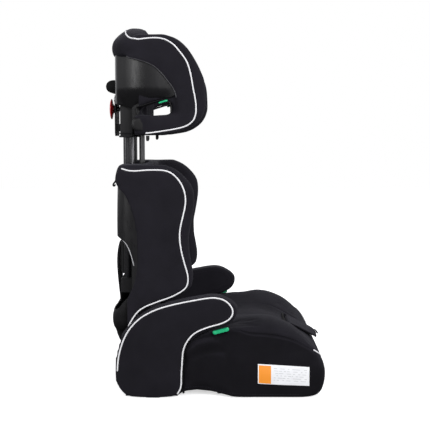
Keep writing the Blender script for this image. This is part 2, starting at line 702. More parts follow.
def armrest(side, word):
    rings = []
    for x, face in ((212.6, -4.5), (213.2, -2.2), (212.4, 0.0), (210.0, 0.55), (206, 0.82), (200, 0.95), (191, 1.08), (182, 1.12), (176, 1.02), (172.2, 0.84), (170, 0.5), (168.6, -1.2), (169.2, -4.5)):
        growth = PAD_GROWTH * face if face > 0 else face
        rings.append([(side * x, y, z) for y, z in armrest_outline(growth)])
    pad = solid(f"armrest_pad_{word}", rings)
    cut(pad, block(sorted((side * 140, side * 206.9)), (58, 216), (-8, 119)))
    remesh(pad, 3.4)
    seam_out = np.array([(side * 212.4, y, z) for y, z in PANEL_PIPED])
    seam_in = np.array([(side * 169.6, y, z) for y, z in smooth(PANEL[4:16], step=3.0)])
    co = coords(pad)
    held = (nearness(co, seam_out) < 3.2) | (nearness(co, seam_in) < 3.2)
    held |= (abs(co[:, 0]) < 207.6) & (co[:, 1] > 56) & (co[:, 2] < 121)
    held |= co[:, 2] < 4.5
    inflate(pad, held, pressure=3.2, cap=2.6)
    relax(pad, 3)
    subdivide(pad)
    groove(pad, seam_out, 1.0, 3.0)
    groove(pad, seam_in, 1.2, 2.4)
    ripple(pad, 0.35, 34.0, 3.1 * side)
    bvh = tree(pad)
    clad(pad, CLOTH_ARM)
    ride(pad, "base", "black_fabric", f"armrest_cover_{word}", f"armrest_foam_{word}")
    piping = tube(f"armrest_piping_{word}", drape(seam_out, bvh, 0.5), 1.55, PIPING)
    ride(piping, "base", "black_fabric")
    # plain seam on the child's side of the horn
    thread = stitches(f"armrest_stitching_{word}", [(side * 169, y, z) for y, z in smooth([(100, 182), (55, 191), (13, 197), (-4, 193), (-15, 184), (-19, 173), (-14, 166), (0, 160)], step=6)], bvh, THREAD)
    ride(thread, "base", "black_fabric")
    return pad, bvh


for side, word in SIDES:
    armrest(side, word)

# =========================================================================================================================
# SEAT CUSHION
# =========================================================================================================================
# one closed section at the middle, at the crown of each thigh bolster and at the side seam: (Y, Z), rear foot first
SECTION = {
    0: [(134, 1), (134, 60), (134, 112), (131, 120), (122, 122), (60, 121), (0, 125), (-40, 129), (-80, 129), (-110, 124.5), (-135, 117), (-146, 113), (-160, 108), (-174, 102), (-188, 94.5), (-200, 84), (-211.5, 67), (-218, 45), (-219, 22), (-212, 5), (-200, 1)],
    150: [(134, 1), (134, 60), (134, 114), (131, 122), (122, 124.5), (60, 126), (0, 132), (-40, 144.5), (-80, 151), (-100, 150.5), (-119, 147), (-151, 133.5), (-171, 117.5), (-189, 98.5), (-203, 79), (-211.5, 55), (-211, 28), (-203, 5), (-190, 1)],
    203: [(134, 1), (134, 60), (134, 112), (131, 119), (122, 122), (60, 127), (0, 137), (-38, 138), (-62, 131.5), (-85, 129.5), (-112, 127), (-142, 119.5), (-166, 109), (-184, 101), (-199, 94), (-206, 70), (-205, 38), (-194, 9), (-168, 1)],
}
SECTION = {x: smooth(p, count=150) for x, p in SECTION.items()}
FLARE = 8.0
FRONT_EDGE = reading([(0, 207.0), (184, 207.0), (194, 204.5), (200, 199), (203.4, 191), (205, 180)])


def seat_section(x):
    ax = abs(x)
    if ax <= 150:
        w = ease(ax, 26, 146)
        ring = SECTION[0] * (1 - w) + SECTION[150] * w
    else:
        t = min((ax - 150) / 53.0, 1.0)
        w = 1 - math.sqrt(max(0.0, 1 - t**2.1))
        ring = SECTION[150] * (1 - w) + SECTION[203] * w
    ring = ring.copy()
    share = (FRONT_EDGE(ax) - 120) / 87.0
    fore = ring[:, 1 - 1] < -120
    ring[fore, 0] = -120 + (ring[fore, 0] + 120) * share
    return [(x, y, z) for y, z in ring]


stations = [0.0]
while stations[-1] < 186:
    stations.append(stations[-1] + 6.2)
stations = stations[:-1] + [186, 190, 193, 196, 198.5, 200.5, 202, 203.2, 204.0, 204.4]
stations = [-s for s in stations[:0:-1]] + stations
seat = solid("seat_pad", [seat_section(x) for x in stations])
# room for the armrest horns and their foot panels
for side, word in SIDES:
    room = np.array([(y, z) for y, z in armrest_outline(PAD_GROWTH + 2.2)])
    cut(seat, prism("room", room, *sorted((side * 163.5, side * 240)), "X"))
    cut(seat, prism("arch", smooth([(-60, -6), (-40, 0.2), (-24, 3.2), (-4, 7.6), (20, 11), (46, 13.2), (66, 12), (90, 7), (110, 2), (112, -6)], step=5), *sorted((side * 120, side * 240)), "X"))
remesh(seat, 4.0)

SIDE_SEAM = [(20, 137.5), (-20, 139.0), (-36, 137.5), (-50, 132.5), (-64, 129), (-85, 127.6), (-112, 124.5), (-142, 117.5), (-166, 108), (-184, 100), (-196, 94)]
side_seam = {
    side: smooth([(side * 205, y, z) for y, z in SIDE_SEAM[:-2]] + [(side * 204.5, -180, 102), (side * 203, -190, 97.5)], step=3.0)
    for side, _ in SIDES
}
front_seam = smooth(
    [(-203, -190, 97.5), (-200.5, -198, 95), (-193, -203.5, 91), (-174, -205, 81), (-120, -211, 61), (-60, -216, 50), (0, -218, 46), (60, -216, 50), (120, -211, 61), (174, -205, 81), (193, -203.5, 91), (200.5, -198, 95), (203, -190, 97.5)],
    step=3.0,
)
# sewn channels of the top: one each side of the middle panel
channels = [smooth([(side * 78, 128, 124), (side * 76, 60, 123), (side * 74, 0, 128), (side * 72, -60, 132), (side * 70, -110, 130), (side * 68, -150, 116), (side * 66, -185, 97)], step=3.0) for side, _ in SIDES]
co = coords(seat)
paths = [side_seam[-1], side_seam[1], front_seam]
held = np.zeros(len(co), bool)
for p in paths:
    held |= nearness(co, p) < 4.2
held |= (co[:, 2] < 5) | (co[:, 1] > 130)
held |= (abs(co[:, 0]) > 160) & (co[:, 1] > -34) & (co[:, 2] > 60) & (abs(co[:, 0]) < 202)
inflate(seat, held, pressure=3.0, cap=3.4)
relax(seat, 3)
# the skirt stands out towards its foot, ahead of the armrests
co = coords(seat)
for i, (x, y, z) in enumerate(co):
    out = FLARE * ease(abs(x), 150, 203) * ease(y, 24, -24) * ease(z, 108, 44)
    co[i, 0] += math.copysign(out, x)
    co[i, 1] -= 1.6 * ease(-y, 150, 200) * ease(z, 96, 50) * ease(abs(x), 90, 200)
set_coords(seat, co)


# the base shell stands inside, so the pad is hollowed round it
HULL = [(197.2, 150), (197.2, -154), (192.5, -178.5), (171, -198.2), (112, -208.6), (0, -212.6)]
HULL = HULL + [(-x, y) for x, y in reversed(HULL[:-1])]
hull = prism("hull", HULL, -10, 100, "Z")
cut(hull, prism("hull_side", [(-217, -20), (-217, 40), (-210, 57), (-197, 73), (-181, 84), (-160, 93), (-130, 99), (220, 99), (220, -20)], -260, 260, "X"), "INTERSECT")
cut(seat, hull)
# the slot that the front strap comes through
cut(seat, solid("slot", [[(x, y, z) for x, y in ((-44, -149.6), (44, -149.6), (46, -146), (44, -142.4), (-44, -142.4), (-46, -146))] for z in (103, 150)]))
subdivide(seat)
for p in (side_seam[-1], side_seam[1]):
    groove(seat, p, 1.9, 2.6)
groove(seat, front_seam, 1.2, 3.0)
for p in channels:
    groove(seat, p, 1.5, 3.4)
# soft folds gathered below the horn, and the broad slack of the skirt
for side, word in SIDES:
    for fold, depth, width in (
        ([(70, 96), (56, 112), (38, 120), (16, 124)], 2.6, 5.0),
        ([(72, 82), (52, 100), (30, 108), (4, 110)], -1.8, 6.0),
        ([(73, 70), (50, 84), (24, 92), (-4, 94)], 2.0, 7.0),
        ([(66, 40), (50, 22), (28, 17)], 1.4, 9.0),
        ([(10, 16), (-20, 10), (-60, 8)], -0.9, 6.0),
    ):
        groove(seat, smooth([(side * 205.5, y, z) for y, z in fold], step=4), depth, width)
ripple(seat, 1.1, 62.0, 7.3, where=lambda p: ease(abs(p[0]), 198, 203) * ease(p[2], 8, 30) * ease(p[2], 126, 104))
ripple(seat, 0.5, 42.0, 1.3, where=lambda p: ease(p[2], 100, 112))
seat_tree = tree(seat)
clad(seat, CLOTH_SEAT)
ride(seat, "base", "black_fabric", "seat_cover", "seat_foam")

ride(tube("seat_front_piping", drape(front_seam, seat_tree, 0.5), 1.5, PIPING), "base", "black_fabric")
for side, word in SIDES:
    ride(tube(f"seat_side_welt_{word}", drape(side_seam[side], seat_tree, -0.2), 0.9, BINDING, seg=8), "base", "black_fabric")
    ride(
        stitches(f"seat_side_stitching_{word}", [(side * 205, y, z + 4.0) for y, z in SIDE_SEAM[2:-1]], seat_tree, THREAD),
        "base",
        "black_fabric",
    )
for k, p in enumerate(channels):
    ride(stitches(f"seat_channel_stitching_{k}", p, seat_tree, THREAD), "base", "black_fabric")
# bound edge of the slot: two lips with rolled ends
for k, (y, z) in enumerate(((-151.6, 111), (-140.6, 115))):
    lip = smooth([(-47, y, z), (-30, y, z), (0, y, z), (30, y, z), (47, y, z)], step=4)
    ride(tube(f"slot_lip_{k}", drape(lip, seat_tree, 1.4), 2.1, RUBBER, seg=10), "base", "black_fabric")
for side, word in SIDES:
    end = smooth([(side * 47, -151.6, 111), (side * 50, -146, 113), (side * 47, -140.6, 115)], step=2)
    ride(tube(f"slot_end_{word}", drape(end, seat_tree, 0.8), 1.9, BINDING, seg=10), "base", "black_fabric")
    # hemmed lower edge of the skirt, drawn tight by an elastic
    hem = smooth([(side * 204, 72, 13), (side * 204, 46, 14.5), (side * 206, 10, 11), (side * 208, -24, 4.5), (side * 210, -60, 2.4), (side * 210, -160, 2.4)], step=5)
    ride(stitches(f"skirt_hem_stitching_{word}", [(x, y, z + 6) for x, y, z in hem], seat_tree, THREAD, pitch=5.0), "base", "black_fabric")

# front strap: padded tongue, bound all round, with a short loop at its tip
TONGUE = smooth([(-145.8, 104), (-147.4, 110), (-150.5, 113.4), (-156, 112.2), (-164, 109.2), (-174, 104.8), (-186, 99.0), (-197, 93.4), (-204, 89.8), (-208.8, 86.8)], step=3)


def tongue_rows(lift, half):
    rows = []
    for i, (y, z) in enumerate(TONGUE):
        t = i / (len(TONGUE) - 1)
        w = half * (1 - 0.10 * ease(t, 0.72, 1.0) - 0.0 * t)
        row = []
        for k in range(15):
            s = k / 7 - 1
            sag = 1.6 * s * s * ease(t, 0.25, 0.9)
            row.append((s * w, y, z + lift - sag + 0.5 * math.sin(5 * s + 3 * t) * ease(t, 0.2, 0.8)))
        rows.append(row)
    return rows


tongue = sheet("strap_tongue", tongue_rows(0.0, 41.0), 3.4, CLOTH_TOP, rim=1.2)
ride(tongue, "base", "black_fabric", "adjuster_flap")
tongue_tree = tree(tongue)
for side, word in SIDES:
    edge = [(side * 41.0 * (1 - 0.10 * ease(i / (len(TONGUE) - 1), 0.72, 1.0)), y, z - 1.6 * ease(i / (len(TONGUE) - 1), 0.25, 0.9)) for i, (y, z) in enumerate(TONGUE)][3:]
    ride(tube(f"tongue_binding_{word}", smooth(edge, step=3), 1.9, BINDING, seg=8), "base", "black_fabric")
tip = smooth([(-36.9, -209.0, 85.2), (-20, -210.0, 86.5), (0, -210.4, 86.9), (20, -210.0, 86.5), (36.9, -209.0, 85.2)], step=3)
ride(tube("tongue_binding_tip", tip, 1.9, BINDING, seg=8), "base", "black_fabric")
loop = smooth([(-11, -207, 89.0), (-11, -212.4, 88.6), (-8, -215.6, 85.6), (0, -216.4, 84.4), (8, -215.6, 85.6), (11, -212.4, 88.6), (11, -207, 89.0)], step=1.6)
ride(tube("tongue_loop", loop, 1.6, BINDING, seg=8, flat=0.7), "base", "black_fabric")

# =========================================================================================================================
# BACKREST PAD
# =========================================================================================================================
WING_TIP = reading([
    (132, 180), (150, 172), (167, 160), (179, 138), (188, 114), (196, 92), (206, 70), (220, 54), (241, 51), (267, 54.5),
    (292, 58.5), (318, 59), (343, 55), (363, 51.5), (389, 48.5), (407, 49.5), (421, 54), (439, 67.5), (455, 87), (463, 106),
])
FABRIC_REAR = reading([
    (132, 187), (180, 189), (190, 188.5), (198, 186), (209, 180.5), (221, 175), (235, 171), (254, 168), (282, 166.5), (313, 167), (349, 171.5), (383, 181),
    (407, 193), (420, 206), (432, 211), (455, 207), (469, 199),
])


def back_ring(z):
    top = max(0.0, z - 445.0)
    s = 17.5 * (1 - math.sqrt(max(0.0, 1 - (top / 19.0) ** 2)))
    half, wing = 182.6 - s, 40.0 - 2 * s
    tip, rear = WING_TIP(z) + 2.6, FABRIC_REAR(z) - 0.5
    front = 143.0 + 0.35 * s
    low = 1 - ease(z, 200, 230)
    rear_in = 165.0 - 0.3 * s
    wrap = ease(z, 416, 421)
    xr = (half - 9.0) * (1 - wrap) + 101.0 * wrap
    rear = max(rear, rear_in + 1.5)
    lean = 8.0 * (1 - low)
    path = [
        (0, rear_in, 0), (xr, rear_in, 3), (xr, rear, 3), (half, rear, 9 + 8 * wrap), (half, tip, wing / 2), (half - wing, tip, wing / 2),
        (half - wing - lean, front, 16), (half - wing - lean - 50, front - 2.5, 30), (0, front - 4.5, 0),
    ]
    right = rounded(path, 6)
    return [(x, y, z) for x, y in right] + [(-x, y, z) for x, y in reversed(right[1:-1])]


levels = [133 + 4.4 * k for k in range(73)]
levels = [z for z in levels if z < 445] + [445, 449, 452.5, 455.5, 458, 460, 461.6, 462.8, 463.4]
back = solid("back_pad", [back_ring(z) for z in levels])
for side, word in SIDES:
    # the hinge ears of the base stand in the lower corners
    cut(back, block(sorted((side * 134.2, side * 201)), (117.3, 233), (121, 153.1)))
    room = armrest_outline(PAD_GROWTH + 2.4)[::2]
    cut(back, prism("room", room, *sorted((side * 163.0, side * 240)), "X"))
remesh(back, 4.2)

BACK_LINE = [
    (197, 461), (186, 455.5), (172, 453), (138, 456), (113, 455), (95, 448), (81, 434), (73, 419), (68.5, 402), (68.5, 385), (74, 360),
    (79.5, 335), (80, 315), (76, 287), (68.5, 261), (62.5, 242), (61.5, 227), (67, 213.5), (80, 204),
]
arm_top = [(y, z) for y, z in offset(PANEL_FINE, PAD_GROWTH + 5.2)]
BACK_LOWER = [(96, 193.6), (117, 187.4), (142, 177), (164, 162.6), (180, 146), (190, 130)]
back_seam = {side: smooth([(side * 185, y, z) for y, z in BACK_LINE + BACK_LOWER], step=3.0) for side, _ in SIDES}
# inner seam of each wing, and the middle panel's seams with its two cross channels
inner_seam = {
    side: smooth([(side * 142.5, y + 7, z) for y, z in ((132, 445.5), (110, 442.5), (92, 434), (84, 419), (80, 400), (84, 365), (89, 325), (86, 290), (79, 260), (73, 238), (76, 220), (88, 206))], step=3.0)
    for side, _ in SIDES
}
mid_seam = {side: smooth([(side * 104, 141, 452), (side * 92, 140.5, 420), (side * 86, 140, 360), (side * 88, 140, 290), (side * 98, 140, 220), (side * 106, 141, 160)], step=3.0) for side, _ in SIDES}
cross = [smooth([(-86, 140, z), (0, 138, z - 5), (86, 140, z)], step=3.0) for z in (392, 312, 236)]
co = coords(back)
held = np.zeros(len(co), bool)
for side, _ in SIDES:
    for p, reach in ((back_seam[side], 3.6), (inner_seam[side], 3.4), (mid_seam[side], 3.2)):
        held |= nearness(co, p) < reach
for p in cross:
    held |= nearness(co, p) < 3.0
held |= (co[:, 1] > 158) & (abs(co[:, 0]) < 178)
held |= co[:, 1] > np.array([FABRIC_REAR(z) - 4 if z < 416 else 400 for z in co[:, 2]])
held |= co[:, 2] < 140
near_arm = np.zeros(len(co), bool)
for side, _ in SIDES:
    near_arm |= nearness(co, [(side * x, y, z) for x in (166, 172, 178, 184) for y, z in armrest_outline(PAD_GROWTH + 3.4)[::2] if z > 120 and y > 40]) < 4.0
held |= near_arm
inflate(back, held, pressure=3.4, cap=4.4)
relax(back, 3)
subdivide(back)
for side, _ in SIDES:
    groove(back, back_seam[side], 1.2, 3.0)
    groove(back, inner_seam[side], 1.6, 2.6)
    groove(back, mid_seam[side], 2.0, 3.0)
for p in cross:
    groove(back, p, 1.8, 3.2)
ripple(back, 0.6, 46.0, 2.7)
ripple(back, 0.9, 90.0, 5.1, where=lambda p: ease(abs(p[0]), 176, 182))
back_tree = tree(back)
clad(back, CLOTH)
ride(back, "backrest", "black_fabric", "backrest_cover", "backrest_foam")
for side, word in SIDES:
    ride(tube(f"back_piping_{word}", drape(back_seam[side], back_tree, 0.5), 1.55, PIPING), "backrest", "black_fabric")
    ride(tube(f"wing_inner_welt_{word}", drape(inner_seam[side], back_tree, -0.3), 0.9, BINDING, seg=8), "backrest", "black_fabric")
    ride(stitches(f"back_middle_stitching_{word}", mid_seam[side], back_tree, THREAD), "backrest", "black_fabric")
for k, p in enumerate(cross):
    ride(stitches(f"back_cross_stitching_{k}", p, back_tree, THREAD), "backrest", "black_fabric")
# flap of the cover that hangs behind the seat and shuts the gap below the back
rows = [[(132.0 * (i / 20 - 1), 141.6 + 0.7 * math.sin(i * 0.9 + 0.2 * k), 139.0 - 5.2 * k) for i in range(41)] for k in range(7)]
ride(sheet("back_lower_flap", rows, 1.6, CLOTH, rim=0.4), "backrest", "black_fabric")

# =========================================================================================================================
# HEADREST PAD
# =========================================================================================================================
HEAD_TIP = reading([
    (522, 112), (528, 76), (540, 51), (552, 38), (568, 29.5), (584, 26), (604, 26.5), (629, 28.5), (653, 37), (679, 51),
    (701, 66.5), (717, 88), (724, 110),
])
HOOD_EDGE = reading([(561, 84), (583, 86.5), (603, 90), (618, 96), (628, 104), (648, 120), (660, 134), (668, 152), (673, 172), (678, 210), (682, 232)])


def head_ring(z):
    s = 15.0 * (1 - math.sqrt(max(0.0, 1 - (max(0.0, z - 706.0) / 18.6) ** 2)))
    s += 9.0 * (1 - math.sqrt(max(0.0, 1 - (max(0.0, 532.0 - z) / 10.2) ** 2)))
    half, wing = 147.2 - s, 33.6 - 2 * s
    tip = HEAD_TIP(z) + 2.6
    rear_in = 165.0
    rear = 174.0 if z < 562 else min(HOOD_EDGE(z) if z < 676 else 190.0, 192.0 if z < 680 else 170.0)
    front = 151.5
    xr = half - 1 if z < 562 else min(139.0, half - 3)
    if z < 562:
        path = [(0, rear_in, 0), (104, rear_in, 3), (106, rear, 4), (half, rear, 14), (half, tip, wing / 2), (half - wing, tip, wing / 2), (half - wing - 6, front, 14), (60, front - 2, 20), (0, front - 3.5, 0)]
    else:
        path = [(0, rear_in, 0), (xr - 4, rear_in, 3), (xr, rear, 2), (half, rear, 4), (half, tip, wing / 2), (half - wing, tip, wing / 2), (half - wing - 6, front, 14), (60, front - 2, 20), (0, front - 3.5, 0)]
    right = rounded(path, 6)
    return [(x, y, z) for x, y in right] + [(-x, y, z) for x, y in reversed(right[1:-1])]


head_levels = [522, 523.2, 525, 528, 532, 536, 541, 546, 551, 556, 561.9, 562.1, 566, 571, 576, 582, 588, 594, 600, 606, 612, 618, 624, 630, 636, 642, 648, 654, 660, 666, 672, 678, 684, 690, 696, 701, 706, 710, 714, 717, 719.5, 721.5, 723, 724.2]
head = solid("head_pad", [head_ring(z) for z in head_levels])
SLOT_OUTER = smooth([(97.0, 574), (98.2, 584), (103.0, 591), (110, 595), (124, 594), (146, 587), (170, 580), (190, 582)], step=4).tolist()
SLOT_OUTER += [[200, 575], [186, 563.5], [165, 561.8], [148, 563.2], [134, 561.6], [120, 563.0], [106, 564.0], [99, 567.5]]
SLOT_INNER = smooth([(97.0, 574), (98.5, 584), (104, 590.5), (115, 592.5), (130, 590), (146, 585), (158, 578), (161, 569), (156, 562.5), (136, 561.8), (120, 562.5), (104, 563.5)], closed=True, step=4).tolist()
for side, word in SIDES:
    cut(head, prism("belt_slot", SLOT_OUTER, *sorted((side * 127.5, side * 170)), "X"))
    cut(head, prism("belt_slot_in", SLOT_INNER, *sorted((side * 98, side * 128)), "X"))

# hood over the top of the shell, and the raised crown of the middle pad
HOOD_HALF = reading([(681, 144), (686, 147.6), (700, 147.6), (709, 145), (717, 138), (725, 124), (732, 106), (738, 84), (742.5, 60), (745, 36)])
HOOD_REAR = reading([(681, 219.5), (685, 225), (694, 227.6), (704, 227.6), (714, 224.5), (724, 217.5), (732, 210), (738, 204), (742.5, 199), (745, 194)])
rings = []
for z in [681, 682.5, 685, 689, 694, 700, 705, 710, 714, 718, 722, 726, 730, 733.5, 736.5, 739, 741, 742.8, 744.2, 745]:
    half, rear = HOOD_HALF(z), HOOD_REAR(z)
    fore = 150 + 0.0035 * (z - 681) ** 2
    depth = rear - fore - 4
    turn = [(half * math.sin(math.radians(a)) ** 0.62, fore + 4 + depth * math.cos(math.radians(a)) ** 0.74) for a in (0, 8, 16, 24, 32, 40, 48, 56, 64, 72, 79, 85, 89)]
    right = [(0, rear)] + turn[1:] + [(half, fore + 2), (half - 5, fore - 3), (half - 20, fore - 5), (0, fore - 5)]
    rings.append([(x, y, z) for x, y in right] + [(-x, y, z) for x, y in reversed(right[1:-1])])
hood = solid("hood", rings)
crown_rings = []
for k in range(10):
    a = math.radians(9 * k)
    z, w = 716 + 29.2 * math.sin(a), math.cos(a) ** 0.5 if k < 9 else 0.28
    half, y0, y1 = 26 + 62 * w, 176 - 24.5 * w, 178 + 22.0 * w
    right = rounded([(0, y1, 0), (half, y1, 26), (half, y0, 26), (0, y0, 0)], 7)
    crown_rings.append([(x, y, z) for x, y in right] + [(-x, y, z) for x, y in reversed(right[1:-1])])
crown = solid("crown", crown_rings)
head = join([head, hood, crown], "head_pad")
remesh(head, 3.8)

HEAD_LINE = [(165, 713.5), (145, 717), (131, 718), (113, 715), (94, 703.5), (78, 686), (66, 668), (58.5, 642), (54, 616), (49.5, 593), (48, 570), (52, 553.5), (60, 544.5), (73, 538.5), (92, 534.4), (111, 531), (132, 527.2), (149, 524.4)]
head_seam = {side: smooth([(side * 149, y, z) for y, z in HEAD_LINE], step=3.0) for side, _ in SIDES}
hood_seam = smooth(
    [(-149, 165, 713.5), (-146.5, 175, 718), (-139, 184, 724), (-122, 192, 732), (-90, 197, 740), (-50, 200, 745), (0, 201, 746), (50, 200, 745), (90, 197, 740), (122, 192, 732), (139, 184, 724), (146.5, 175, 718), (149, 165, 713.5)],
    step=3.0,
)
head_inner = {side: smooth([(side * 113.5, y + 8, z) for y, z in ((120, 706), (100, 697), (86, 682), (74, 664), (67, 640), (62, 616), (58, 593), (57, 573), (62, 557), (74, 545), (100, 538))], step=3.0) for side, _ in SIDES}
head_mid = {side: smooth([(side * 66, 152, 738), (side * 74, 149.5, 706), (side * 78, 148.5, 660), (side * 78, 148.5, 600), (side * 74, 149, 540)], step=3.0) for side, _ in SIDES}
co = coords(head)
held = nearness(co, hood_seam) < 3.4
for side, _ in SIDES:
    for p, reach in ((head_seam[side], 3.4), (head_inner[side], 3.2), (head_mid[side], 3.0)):
        held |= nearness(co, p) < reach
edge_path = [(side * 146, HOOD_EDGE(z), z) for side, _ in SIDES for z in range(562, 682, 3)]
held |= nearness(co, edge_path) < 6.5
held |= (co[:, 1] > 158) & (co[:, 2] < 680)
held |= (abs(co[:, 0]) > 96) & (co[:, 1] > 92) & (co[:, 2] > 558) & (co[:, 2] < 602)
held |= co[:, 2] < 524.5
inflate(head, held, pressure=3.6, cap=4.2)
relax(head, 3)
subdivide(head)
groove(head, hood_seam, 1.3, 3.0)
for side, _ in SIDES:
    groove(head, head_seam[side], 1.2, 3.0)
    groove(head, head_inner[side], 1.5, 2.6)
    groove(head, head_mid[side], 1.9, 3.0)
ripple(head, 0.5, 38.0, 4.4)
# room for the rails' ends and the rack when the headrest is down
cut(head, block((-86, 86), (177, 211), (660, 700.5)))
head_tree = tree(head)
clad(head, CLOTH)
ride(head, "headrest", "black_fabric", "headrest_cover", "headrest_foam")
whole = np.concatenate([head_seam[-1][::-1], hood_seam[1:], head_seam[1][1:]])
ride(tube("head_piping", drape(whole, head_tree, 0.5), 1.5, PIPING), "headrest", "black_fabric")
for side, word in SIDES:
    ride(tube(f"head_inner_welt_{word}", drape(head_inner[side], head_tree, -0.3), 0.9, BINDING, seg=8), "headrest", "black_fabric")
    ride(stitches(f"head_middle_stitching_{word}", head_mid[side], head_tree, THREAD), "headrest", "black_fabric")

# =========================================================================================================================
# HEADREST SHELL
# =========================================================================================================================
SHELL_PLAN = smooth([(142.4, 80), (142.4, 110), (141.6, 132), (139, 152), (133, 171), (124, 187), (115, 199), (110.5, 205.5), (106.5, 210.0), (99, 213), (80, 216.4), (50, 219.2), (20, 220.3), (0, 220.5)], count=76)
SHELL_LOW = reading([(80, 606), (92, 602), (99, 598), (112, 597), (126, 595), (143, 588), (160, 584), (176, 577.5), (184, 577), (198, 581), (212, 585.5), (221, 587)])


def shell_row(level):
    """Level 0 is the lower edge and 1 the top, hidden by the hood. The lower part tucks in under the head."""
    row = []
    n = len(SHELL_PLAN)
    for i in range(n):
        x, y = SHELL_PLAN[i]
        a, b = SHELL_PLAN[max(i - 1, 0)], SHELL_PLAN[min(i + 1, n - 1)]
        t = (b - a) / np.linalg.norm(b - a)
        inwards = np.array((t[1], -t[0]))
        if inwards @ np.array((x, y - 60)) > 0:
            inwards = -inwards
        low = SHELL_LOW(y)
        z = low + (704 - low) * level
        under = max(0.0, (618 - z) / 36.0)
        tuck = 17.0 * under**1.7 * ease(y, 217, 204) * ease(y, 92, 118)
        bow = 2.4 * math.sin(math.pi * min(1.0, max(0.0, (z - 590) / 120.0))) * ease(y, 100, 150) * ease(y, 216, 190)
        p = np.array((x, y)) + inwards * (tuck - bow)
        row.append((p[0], p[1], z))
    return row + [(-x, y, z) for x, y, z in reversed(row[:-1])]


shell_levels = [(k / 44.0) ** 1.12 for k in range(45)]
shell = sheet("head_shell", [shell_row(l) for l in shell_levels], 2.8, SHELL, rim=0.9)
ride(shell, "headrest", "black_plastic", "headrest_shell")
shell_tree = tree(shell)
# rolled lip where the cover ends, following the quarter-round edge
for side, word in SIDES:
    lip = smooth([(side * 147, HOOD_EDGE(z) + 0.5, z) for z in (598, 610, 620, 630, 640, 650, 660, 667, 672, 676)], step=3.0)
    ride(tube(f"cover_edge_{word}", drape(lip, head_tree, 0.2), 1.6, LIP, seg=8), "headrest", "black_fabric")
    # dark moulded wall behind the belt slot, with upright ribs on its fore edge
    wall = smooth([(161, 563), (162, 570), (160, 578), (154, 585), (150, 590), (160, 589), (172, 584), (178.5, 578), (178.8, 560), (178.5, 542), (172, 534), (164, 534), (161, 548)], closed=True, count=60)
    rings = [[(side * x, *(wall.mean(0) + (q - wall.mean(0)) * k)) for q in wall] for x, k in ((118.4, 0.97), (119.2, 1.0), (123.4, 1.0), (124.2, 0.97))]
    plate = solid(f"slot_wall_{word}", rings, MOULDED)
    plate.data.set_sharp_from_angle(angle=math.radians(40))
    ride(plate, "headrest", "black_plastic")
    for k in range(3):
        rib = smooth([(side * (125.2 + 2.2 * k), 162.4 + 2.6 * k, 562.5), (side * (125.2 + 2.2 * k), 163.2 + 2.6 * k, 573), (side * (125.2 + 2.2 * k), 160.2 + 2.6 * k, 583)], step=3)
        ride(tube(f"slot_rib_{word}_{k}", rib, 1.3, SHELL, seg=8), "headrest", "black_plastic")
    liner = smooth([(99.2, 568), (99.2, 577), (101.2, 585.0), (106, 590.0), (113, 591.4), (126, 589.4), (142, 584.6), (158, 579.6), (168, 577.4)], step=2.0)
    rows = [[(side * x, y, z) for y, z in offset_open(liner, d)] for x, d in ((127.5, 0.0), (131, 0.6), (136, 0.8), (141, 0.5), (144.4, -0.9), (145.6, -2.4))]
    ride(sheet(f"slot_liner_{word}", rows, 1.6, SHELL, rim=0.4), "headrest", "black_plastic", f"belt_guide_{word}")
    # moulded end of the strut, behind its fabric
    ring = []
    for x, k in ((109, 0.86), (112, 1.0), (128, 1.06), (143, 1.06), (146.2, 0.94), (147.2, 0.8)):
        centre = np.array((150.0, 544.2))
        outline = smooth([(168, 557), (174.5, 553), (177, 545), (175, 536), (168, 530.6), (156, 529), (146, 531), (143, 545), (146, 558)], closed=True, count=48)
        ring.append([(side * x, *(centre + (q - centre) * k)) for q in outline])
    cap = solid(f"strut_end_{word}", ring, MOULDED)
    fine = cap.modifiers.new("fine", "SUBSURF")
    fine.levels = fine.render_levels = 1
    ride(cap, "headrest", "black_plastic")

# flanges moulded round the carrier
for k, z in enumerate((519.4, 526.0, 603.2)):
    ring = smooth([(-90.4, 181.5, z), (-88.4, 179.2, z), (0, 179.0, z), (88.4, 179.2, z), (90.4, 181.5, z), (90.6, 193, z), (90.4, 205.6, z), (88.4, 207.8, z), (0, 208.0, z), (-88.4, 207.8, z), (-90.4, 205.6, z), (-90.6, 193, z)], closed=True, step=3)
    ride(tube(f"carrier_flange_{k}", ring, 1.5 if k else 1.9, MOULDED, closed=True, seg=8), "headrest", "black_plastic")

# =========================================================================================================================
# BACKREST SHELLS
# =========================================================================================================================
TRIM_PLAN = smooth([(177.4, 158), (177.2, 168), (175.6, 180), (170, 192), (160, 200.5), (145, 205.5), (122, 208.4), (60, 210.2), (0, 210.6)], count=90)
TRIM_LOW = reading([(158, 226), (164, 233), (168.5, 245), (172.5, 264), (178.5, 286), (186.5, 303.5), (196, 313), (204, 317), (211, 318)])


def trim_row(level):
    row = []
    for x, y in TRIM_PLAN:
        low = TRIM_LOW(y)
        z = low + (419 - low) * level
        out = 1.6 * math.sin(math.pi * min(1.0, max(0.0, (z - 240) / 180.0)))
        row.append((x, y + out * ease(y, 176, 200), z))
    return row + [(-x, y, z) for x, y, z in reversed(row[:-1])]


trim = sheet("back_trim", [trim_row(k / 40.0) for k in range(41)], 3.0, SHELL, rim=0.9)
ride(trim, "backrest", "black_plastic", "rear_trim")
trim_tree = tree(trim)
for side, word in SIDES:
    arch = [(side * x, y, TRIM_LOW(y)) for x, y in TRIM_PLAN if 165 < y]
    arch = [p for p in arch if abs(p[0]) > 96]
    bright = [p for p in arch if p[2] > 262]
    dull = [p for p in arch if p[2] <= 268]
    ride(tube(f"arch_piping_{word}", smooth([(x + side * 1.2, y + 0.8, z) for x, y, z in bright], step=3), 0.95, ARCH_CORD, seg=8), "backrest", "black_fabric")
    ride(tube(f"arch_edge_{word}", smooth([(x, y + 0.4, z) for x, y, z in dull], step=3), 1.2, SHELL, seg=8), "backrest", "black_plastic")

